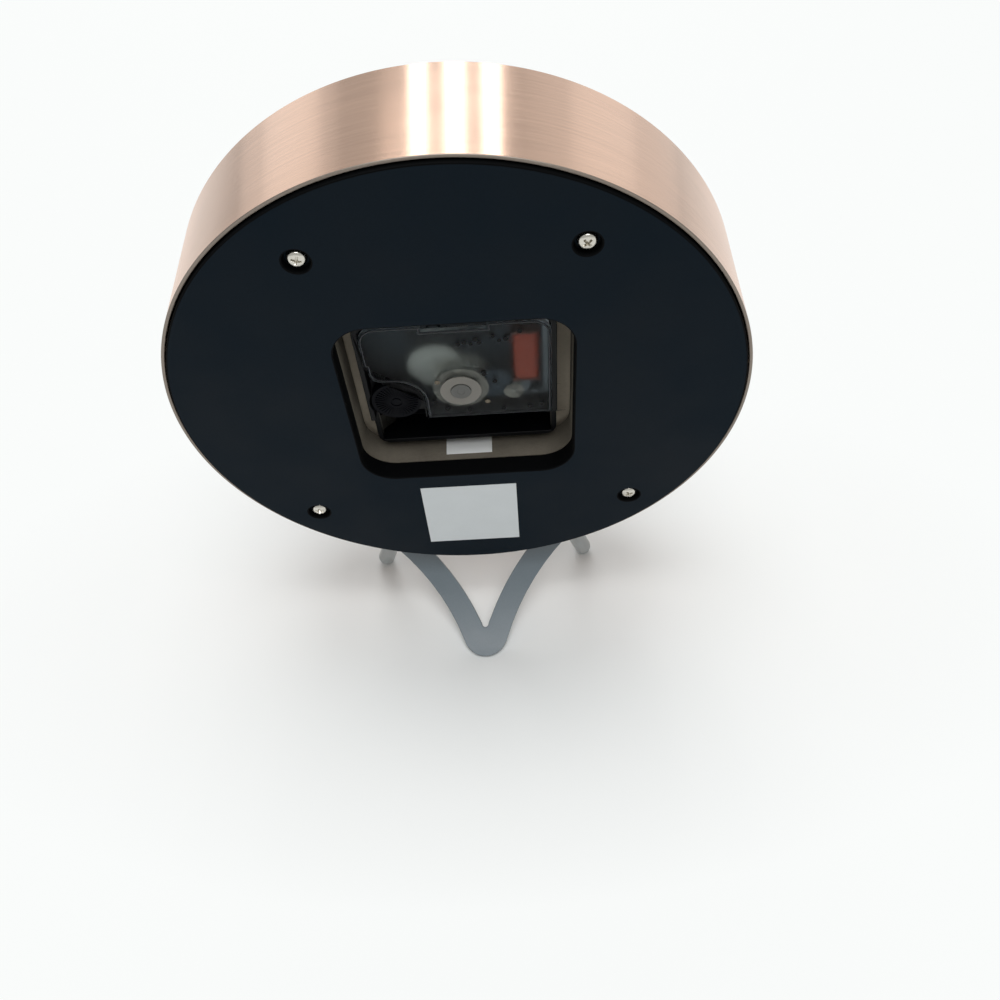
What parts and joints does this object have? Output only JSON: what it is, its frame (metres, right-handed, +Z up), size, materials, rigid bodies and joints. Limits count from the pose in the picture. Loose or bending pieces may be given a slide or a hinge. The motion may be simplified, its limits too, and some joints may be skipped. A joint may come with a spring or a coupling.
{
  "type": "table clock",
  "caption": "Round battery table clock: brushed metal drum leaning back on two peg legs and a wishbone leg, with a framed opening at the back for the movement.",
  "frame": {"origin": "middle of the footprint on the table", "axes": "+Z up, dial towards -Y, +X to the right seen from the dial"},
  "size_m": [0.165, 0.0602, 0.1984],
  "materials": {
    "rose_gold_case": "brushed",
    "clear_glass": "polished",
    "black_rubber": "matte",
    "white_trim": "matte",
    "dial_white": "matte",
    "rose_gold_trim": "polished",
    "raw_board": "raw",
    "dark_spacer": "matte",
    "back_paint": "painted matte",
    "nickel": "plated",
    "white_paper": "matte",
    "brass": "turned",
    "leg_paint": "satin",
    "movement_black": "moulded",
    "smoky_clear": "moulded clear",
    "knob_black": "moulded",
    "circuit_green": "lacquered",
    "copper_winding": "enamelled wire",
    "bobbin_cream": "moulded",
    "soft_iron": "stamped",
    "magnet_grey": "satin",
    "wheel_natural": "moulded",
    "hand_dark": "painted"
  },
  "bodies": {
    "clock_case": {"case_band": "rose_gold_case", "lens": "clear_glass", "lens_gasket": "black_rubber", "rehaut_ring": "white_trim", "dial_plate": "dial_white", "hour_markers": "rose_gold_trim", "dial_board": "raw_board", "board_spacers": "dark_spacer", "mounting_board": "raw_board", "back_panel": "back_paint", "back_screws": "nickel", "back_label": "white_paper", "paper_tag": "white_paper", "thread_inserts": "brass", "front_leg_left": "leg_paint", "front_leg_right": "leg_paint", "rear_leg": "leg_paint", "movement_base": "movement_black", "train_bridge": "movement_black", "movement_cover": "smoky_clear", "fixing_bush": "brass", "movement_washer": "black_rubber", "nut_washer": "brass", "fixing_nut": "brass", "negative_contact": "nickel", "positive_contact": "nickel", "circuit_board": "circuit_green", "quartz_crystal": "nickel", "coil_winding": "copper_winding", "coil_bobbin": "bobbin_cream", "coil_core": "soft_iron", "stator": "soft_iron"},
    "seconds_set": {"seconds_wheel": "wheel_natural", "second_hand": "rose_gold_trim"},
    "motor_rotor": {"rotor": "magnet_grey"},
    "intermediate_set": {"intermediate_wheel": "wheel_natural"},
    "third_set": {"third_wheel": "wheel_natural"},
    "centre_set": {"centre_wheel": "wheel_natural"},
    "minute_set": {"minute_arbor": "wheel_natural", "minute_hand": "hand_dark"},
    "minute_work_set": {"minute_work_wheel": "wheel_natural"},
    "hour_set": {"hour_wheel": "wheel_natural", "hour_hand": "hand_dark"},
    "knob_set": {"setting_knob": "knob_black"}
  },
  "joints": [
    {"name": "seconds_turn", "type": "hinge", "parent": "clock_case", "child": "seconds_set", "pos_m": [0, 0.00874, 0.11286], "axis": [0, 0.99, -0.1409], "continuous": true},
    {"name": "rotor_turn", "type": "hinge", "parent": "clock_case", "child": "motor_rotor", "pos_m": [-0.0154, 0.00838, 0.11029], "axis": [0, 0.99, -0.1409], "continuous": true},
    {"name": "intermediate_turn", "type": "hinge", "parent": "clock_case", "child": "intermediate_set", "pos_m": [-0.00936, 0.00881, 0.11336], "axis": [0, 0.99, -0.1409], "continuous": true},
    {"name": "third_turn", "type": "hinge", "parent": "clock_case", "child": "third_set", "pos_m": [0.0068, 0.008, 0.11903], "axis": [0, 0.99, -0.1409], "continuous": true},
    {"name": "centre_turn", "type": "hinge", "parent": "clock_case", "child": "centre_set", "pos_m": [0, 0.00557, 0.11332], "axis": [0, 0.99, -0.1409], "continuous": true},
    {"name": "minute_turn", "type": "hinge", "parent": "clock_case", "child": "minute_set", "pos_m": [0, 0.00241, 0.11377], "axis": [0, 0.99, -0.1409], "continuous": true},
    {"name": "minute_work_turn", "type": "hinge", "parent": "clock_case", "child": "minute_work_set", "pos_m": [0.01018, 0.00253, 0.11466], "axis": [0, 0.99, -0.1409], "continuous": true},
    {"name": "hour_turn", "type": "hinge", "parent": "clock_case", "child": "hour_set", "pos_m": [0, 0.00082, 0.11399], "axis": [0, 0.99, -0.1409], "continuous": true},
    {"name": "knob_turn", "type": "hinge", "parent": "clock_case", "child": "knob_set", "pos_m": [0.0193, 0.0102, 0.10892], "axis": [0, 0.99, -0.1409], "continuous": true}
  ],
  "couplings": [
    {"joint": "intermediate_turn", "follows": "seconds_turn", "ratio": -5},
    {"joint": "rotor_turn", "follows": "seconds_turn", "ratio": 30},
    {"joint": "third_turn", "follows": "seconds_turn", "ratio": -0.13333},
    {"joint": "centre_turn", "follows": "seconds_turn", "ratio": 0.016667},
    {"joint": "minute_work_turn", "follows": "minute_turn", "ratio": -0.33333},
    {"joint": "hour_turn", "follows": "minute_turn", "ratio": 0.083333},
    {"joint": "knob_turn", "follows": "minute_turn", "ratio": 1}
  ]
}
